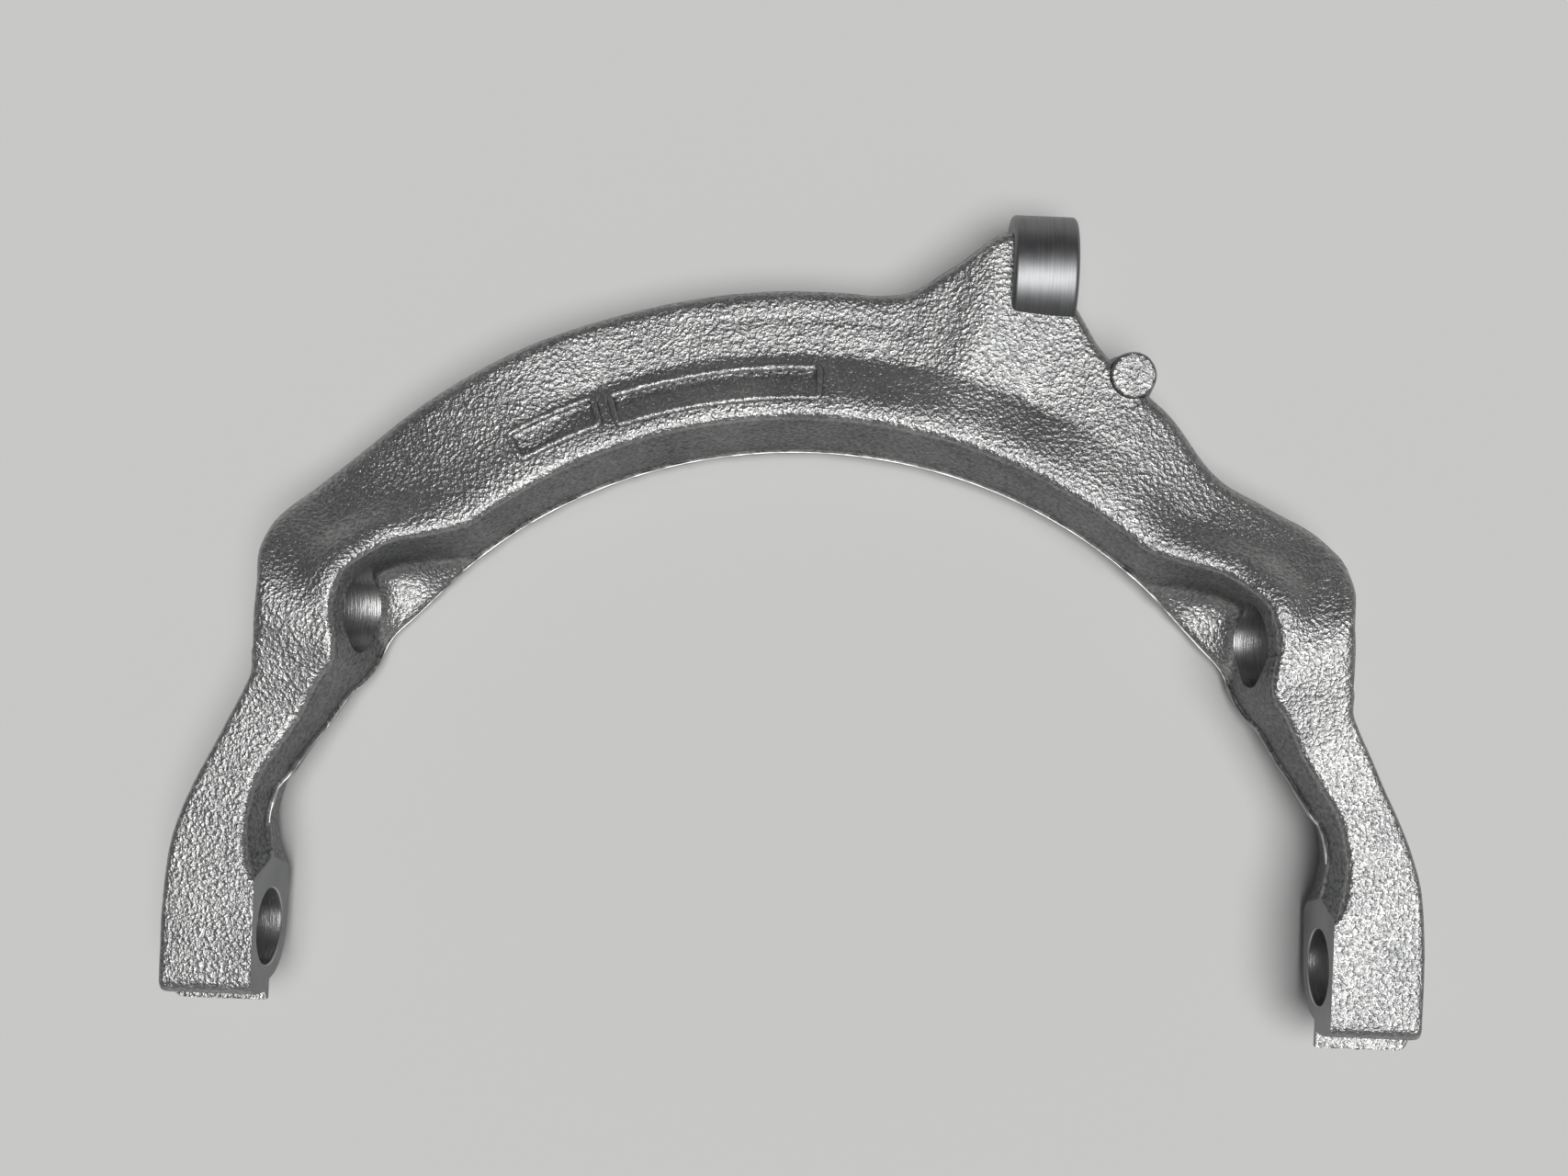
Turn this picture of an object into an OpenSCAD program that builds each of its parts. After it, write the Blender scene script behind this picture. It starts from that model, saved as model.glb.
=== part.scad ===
// Transmission shift fork: a one-piece drop-forged steel yoke that rocks on two pivot bores.
// X runs along the pivot axis, Y from the legs towards the shift lug, Z out of the front face.
// The forging is one loft of sections that stand on rays from the axis of the sliding sleeve.

/* [Spans] */
// Distance between the two machined tip faces
tip_gap = 220; // [200:1:240]
// Distance from the pivot axis to the axis of the tip bores and of the sleeve
leg_drop = 67; // [61:0.5:73]
// Distance between the outer machined faces of the two elbows
pivot_span = 223; // [216:1:230]
// Wall of an elbow along its pivot bore
elbow_w = 18.5; // [16:0.5:21]

/* [Bores] */
// Diameter of the pivot bores in the elbows
pivot_d = 18; // [12:0.5:20]
// Diameter of the machined seat round the outer end of a pivot bore
seat_d = 30; // [26:0.5:32]
// Diameter of the tip bores that carry the sliding blocks
block_d = 16; // [10:0.5:17]
// Chamfer at the mouth of a tip bore
mouth = 0.6; // [0.3:0.1:1]

/* [Arch] */
// How far the arch's inner rim stands inside the line of the tip faces
rim_in = 0.5; // [0:0.25:2]
// Radial width of the arch across its front face
arch_w = 27.5; // [24:0.5:31]
// Height of the inner rim of the arch above the pivot plane
rim_z = 9.5; // [8:0.5:11]
// Height of the flat shelf at the crown of the arch
shelf_z = 4.5; // [3.5:0.25:5.5]
// Height of the outer edge of the arch beside the knob
edge_z = 6.5; // [5:0.5:7.5]
// Height of the outer edge of the arch at its lowest, next to the elbows
dip_z = 3; // [2:0.5:4]
// How far the right flank is drawn in between the knob and the elbow
waist = 5; // [0:0.5:6]
// Width of the level land along the inner rim
land_w = 4.5; // [3:0.5:6]
// How far the flank's slope sags towards the shelf at the crown
shelf_sag = 2; // [1:0.25:2.5]

/* [Elbows and legs] */
// Height of the elbow's crest above the pivot plane
crest_z = 14.5; // [13:0.5:17]
// Height of the legs' and tips' front face above the pivot plane
leg_z = 11; // [10:0.5:12.5]
// Width of a leg below its elbow
leg_w = 13; // [11.5:0.5:16]
// Width of the gusset that stands out under an elbow's bore wall
gusset = 9.5; // [6:0.5:10]
// Thickness of a tip block along its bore
tip_w = 19; // [17:0.5:24]
// Distance from the tip bore's axis to the end wall of the tip
tip_end = 13.5; // [12:0.5:16]
// Length of the rolled edge that closes the end of a tip
tip_roll = 4.5; // [3:0.5:5]
// How far above the tip bore's axis the milling cutter reaches
mill_up = 22.5; // [18:0.5:23]

/* [Back] */
// Depth of the back of the arch and elbows behind the pivot plane
back_depth = 16; // [15:0.5:19]
// Depth of a leg's back where the tip block starts
leg_back = 13.5; // [12:0.5:15]
// Wall left between a tip bore and the rounded back of its tip
tip_wall = 3.3; // [2.5:0.1:5]

/* [Shift lug] */
// Diameter of the machined lug
lug_d = 26; // [22:0.5:28]
// Width of the machined lug along its axis
lug_w = 13.5; // [10:0.5:16]
// Place of the lug's middle to the right of the fork's centre line
lug_x = 46.5; // [42:0.5:50]
// Distance of the lug's axis from the pivot axis
lug_y = 75.5; // [73:0.5:79]
// Rounding of the lug's two rims
lug_round = 1; // [0.5:0.25:3]
// Thickness of the arm that carries the lug
arm_t = 19.5; // [16:0.5:21]

/* [Knob] */
// Angle of the test knob round the sleeve's axis, from the crown
knob_a = 28.3; // [26:0.1:31]
// How far the knob's axis stands outside the arch's edge
knob_off = 0.8; // [0:0.1:2]
// Radius of the knob at its top
knob_r = 4.8; // [4:0.1:6]
// Height of the knob above the arch's edge
knob_h = 1.5; // [0.5:0.25:2.5]

/* [Forging] */
// Draft of the forged walls in degrees
draft = 6; // [3:0.5:8]
// Rounding of the inner rim of the arch and elbows
rim_round = 2.5; // [1.5:0.5:5]
// Rounding of the inner front edge of the legs and tips
leg_round = 3; // [2:0.5:4]
// Rounding of the outer front edge
outer_round = 3; // [2:0.5:4]
// Rounding of the back edges
back_round = 4; // [2:0.5:5]
// Rounding where the arch's slope turns towards its outer edge
slope_round = 3; // [2:0.5:6]
// Fillet at the foot of the inner wall
foot_round = 5; // [3:0.5:7]
// Depth of the parting line under the pivot plane along the arch
parting_depth = 11; // [9:0.5:12.5]
// How far the trimmed flash stands out of the wall
flash_out = 0.5; // [0.2:0.1:0.8]
// Half thickness of the trimmed flash
flash_half = 0.9; // [0.6:0.1:1.2]
// Length of the flash ledge left on the end of the left tip
left_ledge = 1.8; // [1:0.2:4]
// Length of the flash ledge left on the end of the right tip
right_ledge = 3.2; // [1:0.2:4]
// Metal left on the inner side of a tip for its machined face
stock = 4; // [3:0.25:5]

/* [Hidden] */
$fn = 96;
over = 1;
steel = "#6b6e72";

tip_x = tip_gap / 2;
elbow_x = pivot_span / 2;
// Radius at which each elbow's outer and inner walls cross the pivot axis
elbow_r = norm([elbow_x, leg_drop]);
bore_r = norm([elbow_x - elbow_w, leg_drop]);
// Radii of the arch's inner rim and of its outer edge
rim_r = tip_x - rim_in;
arch_r = rim_r + arch_w;
lug_z = lug_d / 2 - back_depth;
// Radius of the tip's back round its bore
tip_r = block_d / 2 + tip_wall;
elbow_a = atan2(elbow_x - elbow_w / 2, leg_drop);
// Back corner of the lug's arm seen from the sleeve's axis, its reach past the arch, and its angle
arm_corner = [lug_x - lug_w / 2, lug_y + leg_drop + lug_d * 0.3];
arm_out = norm(arm_corner) - arch_r;
arm_a = atan2(arm_corner[0], arm_corner[1]);
// Shares of the slope's fall that the land has, and of the inner wall's height that its foot has
land_fall = 0.05;
foot_rise = 0.12;
// Half thickness that the end of a tip rolls down to before the flash ledge
ledge_half = flash_half + 0.1;
// Half length of the bore cutters, which go right through both limbs
reach = tip_x + tip_w + 10;

function mix(a, b, t) = a + (b - a) * t;
// Angle that lies some degrees above the elbow, and one that lies a share of the way down the leg
function up(d) = elbow_a - d;
function down(t) = mix(elbow_a, 90, t);
arch_end = up(18.5);
leg_start = down(0.28);

// Smooth curve through keys of [place, value] that never overshoots between two keys
function slope(k, i) = (k[i + 1][1] - k[i][1]) / (k[i + 1][0] - k[i][0]);
function tangent(k, i) = i <= 0 || i >= len(k) - 1 ? 0 :
    let(a = slope(k, i - 1), b = slope(k, i)) a * b <= 0 ? 0 : 2 * a * b / (a + b);
function span_of(k, s, i = 0) = i >= len(k) - 2 || s <= k[i + 1][0] ? i : span_of(k, s, i + 1);
function curve(k, s) =
    let(
        i = span_of(k, s),
        w = k[i + 1][0] - k[i][0],
        t = min(1, max(0, (s - k[i][0]) / w)),
        u = 1 - t
    )
    k[i][1] * u * u * (1 + 2 * t) + k[i + 1][1] * t * t * (3 - 2 * t)
        + tangent(k, i) * w * t * u * u - tangent(k, i + 1) * w * t * t * u;

// Plan of one limb from the crown (0) over the elbow to the tip (90 and further, in mm past the bore)
far = 90 + tip_end + max(left_ledge, right_ledge);
inner_edge = [
    [0, rim_r], [arch_end, rim_r], [up(14), bore_r - 1.5], [up(10), bore_r + 3],
    [up(7.5), bore_r + 4.2], [up(5.5), bore_r + 4.7], [up(3.5), bore_r + 3.7], [up(1.5), bore_r + 1.5],
    [down(0.02), bore_r - 2.5], [down(0.09), bore_r - 4.5], [down(0.17), tip_x + 1],
    [down(0.26), tip_x + 1], [down(0.4), tip_x + 2.5], [down(0.53), tip_x + 4.5],
    [down(0.63), tip_x + 4.3], [down(0.73), tip_x + 3.2], [down(0.79), tip_x + 2],
    [down(0.83), tip_x - 0.5], [down(0.88), tip_x - stock], [far, tip_x - stock]
];
inner_parting = [
    [0, tip_x - 4.5], [up(15), tip_x - 2.7], [up(9), tip_x - 2.2], [up(5), tip_x - 1.6],
    [up(1), tip_x - 0.6], [down(0.1), tip_x - 1.8], [down(0.14), tip_x - 1.6], [down(0.2), tip_x - 0.5],
    [down(0.3), tip_x], [down(0.4), tip_x + 1.2], [down(0.5), tip_x + 2.5], [down(0.57), tip_x + 4],
    [down(0.63), tip_x + 3.8], [down(0.75), tip_x + 1.6], [down(0.82), tip_x - 1],
    [down(0.88), tip_x - stock - 1], [far, tip_x - stock - 1]
];
outer_edge = [
    [0, arch_r], [27, arch_r - 0.4], [up(16), arch_r], [up(12), arch_r + 0.5], [up(5), elbow_r + 9],
    [up(2.3), elbow_r + 7],
    [down(0.02), elbow_r + 2], [down(0.16), elbow_r - 3], [down(0.25), tip_x + leg_w + 1.2],
    [down(0.42), tip_x + leg_w + 2.1], [down(0.79), tip_x + tip_w], [far, tip_x + tip_w]
];
// Bulge of the outer edge that grows into the lug's arm, on the right limb only
arm_bulge = [
    [4, 0], [mix(4, arm_a, 0.3), arm_out * 0.07], [mix(4, arm_a, 0.65), arm_out * 0.48], [arm_a, arm_out],
    [arm_a + 3.5, arm_out * 0.78], [arm_a + 7, arm_out * 0.45], [arm_a + 10, arm_out * 0.18],
    [arm_a + 13, arm_out * 0.05], [arm_a + 17, 0]
];
// How much of the waist's depth the right flank has, from the knob to the elbow
waist_share = [[arm_a + 12, 0], [arm_a + 17, 0.15], [up(17), 1], [up(11.5), 0.45], [up(7), 0]];
gusset_w = [
    [0, 0], [up(15), 0], [up(11), gusset * 0.42], [up(8), gusset * 0.85], [up(6), gusset],
    [up(4), gusset * 0.66], [up(2.5), gusset * 0.37], [up(0.5), gusset * 0.14], [down(0.05), 0], [far, 0]
];

// Heights along one limb
inner_z = [
    [0, rim_z], [up(17), rim_z], [up(10), mix(rim_z, crest_z, 0.3)], [up(6.5), mix(rim_z, crest_z, 0.75)],
    [up(4), crest_z], [down(0.02), crest_z], [down(0.16), mix(leg_z, crest_z, 0.5)], [down(0.32), leg_z],
    [far, leg_z]
];
outer_z = [
    [0, shelf_z - 0.5], [16, shelf_z - 0.5], [27, edge_z], [up(19), mix(edge_z, dip_z, 0.5)],
    [up(12), dip_z], [up(9), dip_z], [up(6), mix(dip_z, crest_z, 0.22)],
    [up(3), mix(dip_z, crest_z, 0.6)], [up(0.4), crest_z], [down(0.03), crest_z],
    [down(0.18), mix(leg_z, crest_z, 0.5)], [down(0.35), leg_z], [far, leg_z]
];
sag = [[0, shelf_sag], [20, shelf_sag], [32, 0], [far, 0]];
parting_z = [
    [0, -parting_depth], [up(14), -parting_depth], [up(7), -parting_depth - 2.5], [up(0), -parting_depth - 2],
    [down(0.15), -parting_depth * 0.9], [down(0.27), -parting_depth * 0.68],
    [down(0.4), -parting_depth * 0.4], [down(0.52), -parting_depth * 0.14], [down(0.64), 0], [far, 0]
];
back_z = [
    [0, -back_depth], [down(0.15), -back_depth], [down(0.45), mix(-back_depth, -leg_back, 0.55)],
    [down(0.78), -leg_back], [90, -tip_r], [far, -tip_r]
];
round_keys = [[0, rim_round], [down(0.15), rim_round], [down(0.4), leg_round], [far, leg_round]];

// Share of its full height that a section keeps as the tip's end rolls over to the flash ledge
function roll_left(s) =
    let(t = (s - 90 - tip_end + tip_roll) / tip_roll) t <= 0 ? 1 : t >= 1 ? 0 : pow(1 - pow(t, 3), 1 / 3);
function rolled(z, s) = mix(ledge_half, z, roll_left(s));
function back_at(s) =
    s <= 90 ? curve(back_z, s) : -max(ledge_half, sqrt(max(0, tip_r * tip_r - (s - 90) * (s - 90))));

// A corner [r, z, rounding, steps] of a section, eased into points between its neighbours
function ease(a, c, b) =
    let(
        p = [c[0], c[1]],
        va = [a[0], a[1]] - p,
        vb = [b[0], b[1]] - p,
        ta = p + va * min(0.46, c[2] / max(norm(va), 0.01)),
        tb = p + vb * min(0.46, c[2] / max(norm(vb), 0.01)),
        n = c[3]
    )
    n == 0 ? [p] : [for (i = [0:n]) let(t = i / n) ta * (1 - t) * (1 - t) + p * 2 * t * (1 - t) + tb * t * t];
function eased(c) =
    let(n = len(c)) [for (i = [0:n - 1]) each ease(c[(i + n - 1) % n], c[i], c[(i + 1) % n])];

// Section of the forging at place s of a limb: points [r, z] from the inner rim over the front to the back
function section(s, right) =
    let(
        arm = right ? curve(arm_bulge, s) : 0,
        share = arm / arm_out,
        zi = rolled(curve(inner_z, s), s),
        zo = rolled(mix(curve(outer_z, s), lug_z + arm_t / 2, share), s),
        zp = curve(parting_z, s),
        zq = mix(zp, lug_z, share),
        zb = back_at(s),
        zc = mix(zb, lug_z - arm_t / 2, share),
        ri = curve(inner_edge, s),
        ro = curve(outer_edge, s) + arm - (right ? waist * curve(waist_share, s) : 0),
        pi = min(curve(inner_parting, s), ri - (zi - zp) * tan(draft) / 2),
        po = ro + (zo - zq) * tan(draft),
        mid_r = ri + 0.5 * min(ro - ri, arch_w),
        mid_z = mix(zi, zo, 0.5) - curve(sag, s) * (1 - 0.5 * share),
        foot_z = mix(zp + flash_half, zi, foot_rise),
        foot_r = mix(pi, ri, foot_rise) + curve(gusset_w, s)
    )
    eased([
        [ri, zi, curve(round_keys, s), 4],
        [ri + land_w, mix(zi, mid_z, land_fall), land_w / 2, 2],
        [mid_r, mid_z, slope_round, 3],
        [ro, zo, outer_round, 4],
        [po, zq + flash_half, 0, 0],
        [po + flash_out, zq + flash_half / 3, 0, 0],
        [po + flash_out, zq - flash_half / 3, 0, 0],
        [po, zq - flash_half, 0, 0],
        [po + (zc - zq) * tan(draft), zc, back_round, 3],
        [pi - (zb - zp) * tan(draft), zb, back_round, 3],
        [pi, zp - flash_half, 0, 0],
        [pi - flash_out, zp - flash_half / 3, 0, 0],
        [pi - flash_out, zp + flash_half / 3, 0, 0],
        [pi, zp + flash_half, 0, 0],
        [foot_r, foot_z, foot_round, 2]
    ]);

// Places of the sections down one limb: closer together round the arm, the elbow and the rolled end
function places(arch_step, ledge) = [
    for (i = [1:ceil(arch_end / arch_step) - 1]) arch_end * i / ceil(arch_end / arch_step),
    for (i = [0:14]) mix(arch_end, leg_start, i / 14),
    for (i = [1:5]) mix(leg_start, down(0.7), i / 5),
    for (i = [1:4]) mix(down(0.7), down(0.9), i / 4),
    for (i = [1:3]) mix(down(0.9), 90 + tip_end - tip_roll, i / 3),
    for (i = [1:5]) 90 + tip_end - tip_roll * (1 - sin(18 * i)),
    for (i = [1:3]) 90 + tip_end + ledge * sin(30 * i)
];
// How far the round corner of a flash ledge has drawn in its outer side
function ledge_in(s, ledge) =
    let(t = (s - 90 - tip_end) / ledge) t <= 0 ? 0 : left_ledge * (1 - sqrt(max(0, 1 - t * t)));
// Ring of points of one section, on its ray from the sleeve's axis or straight across the tip
function ring(s, side, ledge) = [
    for (p = section(s, side > 0))
        let(r = p[0] > tip_x + tip_w / 2 ? p[0] - ledge_in(s, ledge) : p[0])
            s <= 90 ? [side * r * sin(s), r * cos(s) - leg_drop, p[1]]
                    : [side * r, 90 - s - leg_drop, p[1]]
];
left_places = places(4.5, left_ledge);
right_places = places(2.4, right_ledge);
rings = [
    for (i = [len(left_places) - 1:-1:0]) ring(left_places[i], -1, left_ledge),
    ring(0, 1, right_ledge),
    for (s = right_places) ring(s, 1, right_ledge)
];

// The raw forging: legs, elbows, arch and arm in one closed skin, with a fan of faces on each end
module forging() {
    n = len(rings[0]);
    m = len(rings);
    end_x = tip_x + tip_w / 2;
    end_y = -leg_drop - tip_end;
    end_mid = [[-end_x, end_y - left_ledge, 0], [end_x, end_y - right_ledge, 0]];
    polyhedron(
        points = [for (r = rings) each r, each end_mid],
        faces = [
            for (j = [0:n - 1]) [j, m * n, (j + 1) % n],
            for (i = [0:m - 2], j = [0:n - 1])
                let(a = i * n + j, b = i * n + (j + 1) % n) each [[a, b, a + n], [b, b + n, a + n]],
            for (j = [0:n - 1]) [(m - 1) * n + j, (m - 1) * n + (j + 1) % n, m * n + 1]
        ]
    );
}

// Machined shift lug: a short drum with rounded rims, its axis along X
module lug() {
    r = lug_d / 2;
    h = lug_w / 2;
    c = lug_round;
    translate([lug_x, lug_y, lug_z])
        rotate([0, 90, 0])
            rotate_extrude()
                polygon([
                    [0, -h],
                    for (t = [-90:15:0]) [r - c + c * cos(t), c - h + c * sin(t)],
                    for (t = [0:15:90]) [r - c + c * cos(t), h - c + c * sin(t)],
                    [0, h]
                ]);
}

// Test knob: a low round boss whose side runs down the outer wall
module knob() {
    top = curve(outer_z, knob_a) + knob_h;
    foot = -parting_depth;
    r = arch_r + knob_off;
    translate([r * sin(knob_a), r * cos(knob_a) - leg_drop, foot])
        cylinder(h = top - foot, r1 = knob_r + (top - foot) * tan(draft), r2 = knob_r);
}

// Straight bore along X through both limbs
module cross_bore(d, y) {
    translate([-reach, y, 0])
        rotate([0, 90, 0])
            cylinder(h = 2 * reach, d = d);
}

// Metal that milling takes off between the two tip faces, with the chamfered bore mouths
module tip_milling() {
    end = tip_end + max(left_ledge, right_ledge) + over;
    translate([-tip_x, -leg_drop - end, -back_depth - over])
        cube([tip_gap, end + mill_up, back_depth + crest_z + 2 * over]);
    for (side = [-1, 1])
        translate([side * tip_x, -leg_drop, 0])
            rotate([0, side * 90, 0])
                translate([0, 0, -over])
                    cylinder(h = mouth + over, r1 = block_d / 2 + mouth + over, r2 = block_d / 2);
}

// Metal that spot-facing takes off outside the two elbows
module elbow_seats() {
    for (side = [-1, 1])
        translate([side * elbow_x, 0, 0])
            rotate([0, side * 90, 0])
                cylinder(h = reach - elbow_x, d = seat_d);
}

module shift_fork() {
    color(steel)
        difference() {
            union() {
                forging();
                lug();
                knob();
            }
            tip_milling();
            elbow_seats();
            cross_bore(pivot_d, 0);
            cross_bore(block_d, -leg_drop);
        }
}

shift_fork();
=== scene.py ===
import math

import bmesh
import bpy
import numpy as np
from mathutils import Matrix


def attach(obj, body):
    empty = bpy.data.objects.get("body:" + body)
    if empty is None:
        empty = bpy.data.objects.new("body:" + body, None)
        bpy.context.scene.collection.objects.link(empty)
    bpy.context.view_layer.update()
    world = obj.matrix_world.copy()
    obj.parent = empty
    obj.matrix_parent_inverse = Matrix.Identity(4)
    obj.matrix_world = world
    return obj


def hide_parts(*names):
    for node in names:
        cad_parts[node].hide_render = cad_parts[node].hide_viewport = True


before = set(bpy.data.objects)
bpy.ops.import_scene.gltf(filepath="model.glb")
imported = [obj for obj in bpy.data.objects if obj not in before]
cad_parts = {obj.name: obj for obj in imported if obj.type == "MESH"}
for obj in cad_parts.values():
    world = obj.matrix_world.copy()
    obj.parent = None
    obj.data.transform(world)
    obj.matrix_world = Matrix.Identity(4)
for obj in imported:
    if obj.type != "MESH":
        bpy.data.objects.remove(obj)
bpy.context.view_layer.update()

# The body is one drop forging of steel: two legs, two elbows and the arch between them, with the arm of the
# lug. Its skin runs through cross-sections that stand on rays from the sliding sleeve's axis, with the dies'
# draft on every wall and a thin trimmed flash along the parting line. All its sizes are in millimetres.
mm = 0.001
draft = math.tan(math.radians(6))
tip_x = 110.0  # from the middle to the milled face of a tip
leg_drop = 67.0  # from the pivot axis down to the sleeve's axis and the tip bores
elbow_x = 111.5  # from the middle to the seat outside an elbow
elbow_w = 18.5  # from that seat to the inner mouth of the pivot bore
rim_r = 109.5  # radius of the arch's inner rim
arch_w = 27.5  # width of the arch's front
rim_z = 9.5  # height of the inner rim over the pivot axis
shelf_z = 4.5  # height of the shelf at the crown
edge_z = 6.5  # height of the outer edge beside the crown
dip_z = 3.0  # height of the outer edge above an elbow
crest_z = 14.5  # height of an elbow's crest
leg_z = 11.0  # height of a leg
leg_w = 13.0  # width of a leg
gusset = 9.5  # width of the gusset under a pivot bore
tip_w = 19.0  # width of a tip
tip_end = 13.5  # from the tip bore's axis to the tip's end
tip_roll = 4.5  # rounding of that end
tip_r = 11.3  # radius of a tip's round back
back_depth = 16.0  # from the pivot axis to the arch's flat back
leg_back = 13.5  # from the pivot axis to the back of a leg
parting = 11.0  # from the pivot axis to the arch's parting line
waist = 5.0  # how far the right limb is drawn in below the arm
land_w = 4.5  # width of the land on the inner rim
land_fall = 0.05  # share of the slope's fall that the land takes
shelf_sag = 2.0  # hollow of the slope at the crown
stock = 4.0  # steel that milling takes off a tip
foot_rise = 0.12  # share of the inner wall that stands below its foot
flash_out = 0.5  # how far the flash stands out
flash_half = 0.9  # half the thickness of the flash
ledge_half = 1.0  # half the thickness of the ledge at a tip's end
left_ledge = 1.8  # length of the left tip's ledge
right_ledge = 3.2  # length of the right tip's ledge
rim_round = 2.5  # rounding of the inner rim on the arch
leg_round = 3.0  # rounding of the inner edge on a leg
outer_round = 3.0  # rounding of the outer edge on the arch
edge_round = 1.6  # rounding of the outer edge on a leg
back_round = 4.0  # rounding of the edges of the back
slope_round = 1.0  # rounding of the crease in the slope
foot_round = 5.0  # rounding at the foot of the inner wall
lug_d = 26.0  # diameter of the lug
lug_w = 13.5  # length of the lug
lug_x, lug_y, lug_z = 46.5, 75.5, -3.0  # middle of the lug
arm_t = 19.5  # thickness of the arm
arm_from = 4.0  # bearing at which the arm begins to leave the arch
arm_lift = 0.3  # share of the lug's diameter by which the arm's corner stands above its middle
arch_r = rim_r + arch_w
elbow_r = math.hypot(elbow_x, leg_drop)
bore_r = math.hypot(elbow_x - elbow_w, leg_drop)
elbow_a = math.degrees(math.atan2(elbow_x - elbow_w / 2, leg_drop))
arm_corner = (lug_x - lug_w / 2, lug_y + leg_drop + lug_d * arm_lift)
arm_out = math.hypot(*arm_corner) - arch_r
arm_a = math.degrees(math.atan2(*arm_corner))
far = 90 + tip_end + right_ledge


def mix(a, b, t):
    return a + (b - a) * t


def up(degrees):
    """Place that lies some degrees above the elbow."""
    return elbow_a - degrees


def down(share):
    """Place that lies a share of the way from the elbow to the tip's bore."""
    return mix(elbow_a, 90, share)


def rise(share):
    """Height that lies a share of the way from the dip above the elbow to its crest."""
    return mix(dip_z, crest_z, share)


def along(keys, s):
    """Values at the places s of a smooth curve through keys, which never overshoots."""
    x, y = np.array(keys, float).T
    width = np.diff(x)
    slope = np.diff(y) / width
    both = slope[:-1] * slope[1:]
    tangent = np.zeros(len(x))
    tangent[1:-1] = np.where(both > 0, 2 * both / np.where(both > 0, slope[:-1] + slope[1:], 1), 0)
    i = np.clip(np.searchsorted(x, s) - 1, 0, len(width) - 1)
    t = np.clip((s - x[i]) / width[i], 0, 1)
    u = 1 - t
    ends = y[i] * u * u * (1 + 2 * t) + y[i + 1] * t * t * (3 - 2 * t)
    return ends + width[i] * t * u * (tangent[i] * u - tangent[i + 1] * t)


# Each curve below is a list of places and values. A place is a bearing in degrees from the crown, and beyond
# the tip's bore, at 90, it goes on in millimetres.
inner_edge = [
    (0, rim_r), (up(18.5), rim_r), (up(14), bore_r - 1.5), (up(10), bore_r + 3), (up(7.5), bore_r + 4.2),
    (up(5.5), bore_r + 4.7), (up(3.5), bore_r + 3.7), (up(1.5), bore_r + 1.5), (down(0.02), bore_r - 2.5),
    (down(0.09), bore_r - 4.5), (down(0.17), tip_x + 1), (down(0.26), tip_x + 1), (down(0.4), tip_x + 2.5),
    (down(0.53), tip_x + 4.5), (down(0.63), tip_x + 4.3), (down(0.73), tip_x + 3.2), (down(0.79), tip_x + 2),
    (down(0.83), tip_x - 0.5), (down(0.88), tip_x - stock), (far, tip_x - stock),
]
inner_parting = [
    (0, tip_x - 4.5), (up(15), tip_x - 2.7), (up(9), tip_x - 2.2), (up(5), tip_x - 1.6),
    (up(1), tip_x - 0.6), (down(0.1), tip_x - 1.8), (down(0.14), tip_x - 1.6), (down(0.2), tip_x - 0.5),
    (down(0.3), tip_x), (down(0.4), tip_x + 1.2), (down(0.5), tip_x + 2.5), (down(0.57), tip_x + 4),
    (down(0.63), tip_x + 3.8), (down(0.75), tip_x + 1.6), (down(0.82), tip_x - 1),
    (down(0.88), tip_x - stock - 1), (far, tip_x - stock - 1),
]
outer_edge = [
    (0, arch_r), (27, arch_r - 0.4), (up(16), arch_r), (up(12), arch_r + 0.5), (up(5), elbow_r + 9),
    (up(2.3), elbow_r + 7), (down(0.02), elbow_r + 2), (down(0.16), elbow_r - 3),
    (down(0.25), tip_x + leg_w + 1.2), (down(0.42), tip_x + leg_w + 2.1), (down(0.79), tip_x + tip_w),
    (far, tip_x + tip_w),
]
arm_bulge = [
    (arm_from, 0), (mix(arm_from, arm_a, 0.3), arm_out * 0.07), (mix(arm_from, arm_a, 0.65), arm_out * 0.48),
    (arm_a, arm_out), (arm_a + 3.5, arm_out * 0.78), (arm_a + 7, arm_out * 0.45),
    (arm_a + 10, arm_out * 0.18), (arm_a + 13, arm_out * 0.05), (arm_a + 17, 0),
]
waist_in = [
    (arm_a + 12, 0), (arm_a + 17, waist * 0.15), (up(17), waist), (up(11.5), waist * 0.45), (up(7), 0),
]
gusset_out = [
    (0, 0), (up(15), 0), (up(11), gusset * 0.42), (up(8), gusset * 0.85), (up(6), gusset),
    (up(4), gusset * 0.66), (up(2.5), gusset * 0.37), (up(0.5), gusset * 0.14), (down(0.05), 0), (far, 0),
]
inner_z = [
    (0, rim_z), (up(17), rim_z), (up(10), mix(rim_z, crest_z, 0.3)), (up(6.5), mix(rim_z, crest_z, 0.75)),
    (up(4), crest_z), (down(0.02), crest_z), (down(0.16), mix(leg_z, crest_z, 0.5)), (down(0.32), leg_z),
    (far, leg_z),
]
outer_z = [
    (0, shelf_z - 0.5), (16, shelf_z - 0.5), (27, edge_z), (up(19), mix(edge_z, dip_z, 0.5)),
    (up(12), dip_z), (up(9), dip_z), (up(6), rise(0.24)), (up(4), rise(0.5)), (up(2.2), rise(0.76)),
    (up(0.8), rise(0.915)), (down(0.01), rise(0.985)), (down(0.04), crest_z),
    (down(0.18), mix(leg_z, crest_z, 0.5)), (down(0.35), leg_z), (far, leg_z),
]
sag = [(0, shelf_sag), (20, shelf_sag), (32, 0), (far, 0)]
parting_z = [
    (0, -parting), (up(14), -parting), (up(7), -parting - 2.5), (up(0), -parting - 2),
    (down(0.15), -parting * 0.9), (down(0.27), -parting * 0.68), (down(0.4), -parting * 0.4),
    (down(0.52), -parting * 0.14), (down(0.64), 0), (far, 0),
]
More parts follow.
